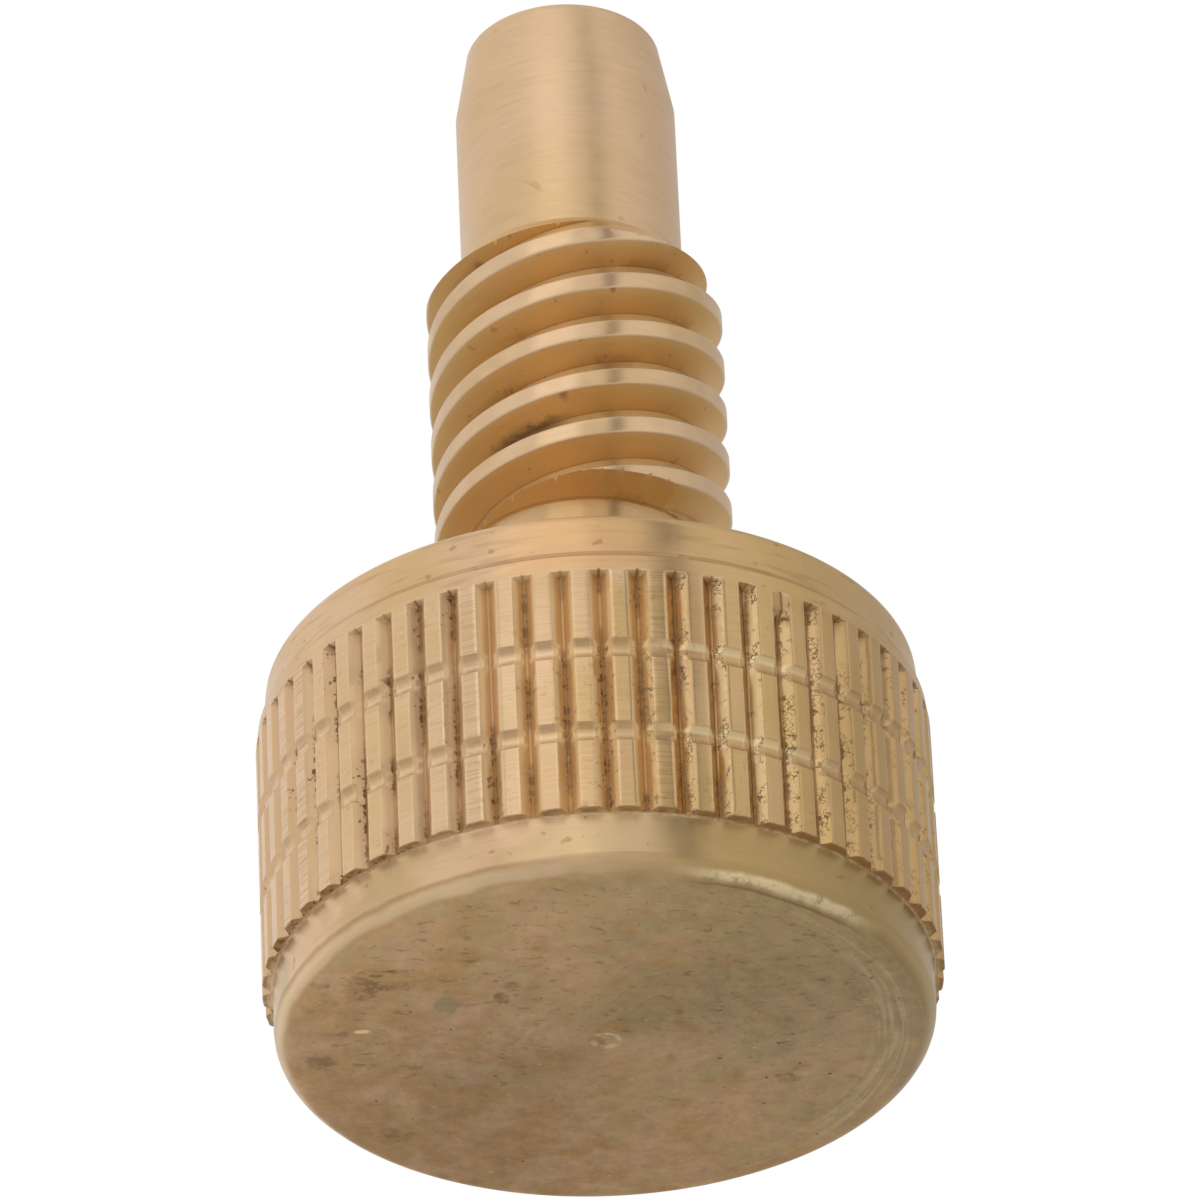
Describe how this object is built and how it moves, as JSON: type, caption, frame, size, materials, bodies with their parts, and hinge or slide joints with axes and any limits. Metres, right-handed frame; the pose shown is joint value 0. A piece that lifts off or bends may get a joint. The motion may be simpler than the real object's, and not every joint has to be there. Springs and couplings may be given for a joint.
{
  "type": "cue weight screw",
  "caption": "One-piece turned brass weight: a knurled round head, a coarse three-start screw thread and a plain pilot with a tapered nose.",
  "frame": {"origin": "centre of the flat outer face of the head, at the bottom of the bounding box", "axes": "+Z along the shank, from the head towards the pilot nose; the part is turned round Z, and one crest of the thread leaves the neck in a named direction from +X"},
  "size_m": [0.022, 0.022, 0.0386],
  "materials": {
    "brass": "turned, handled, light tarnish"
  },
  "bodies": {
    "root": {"weight_screw": "brass"}
  },
  "joints": []
}
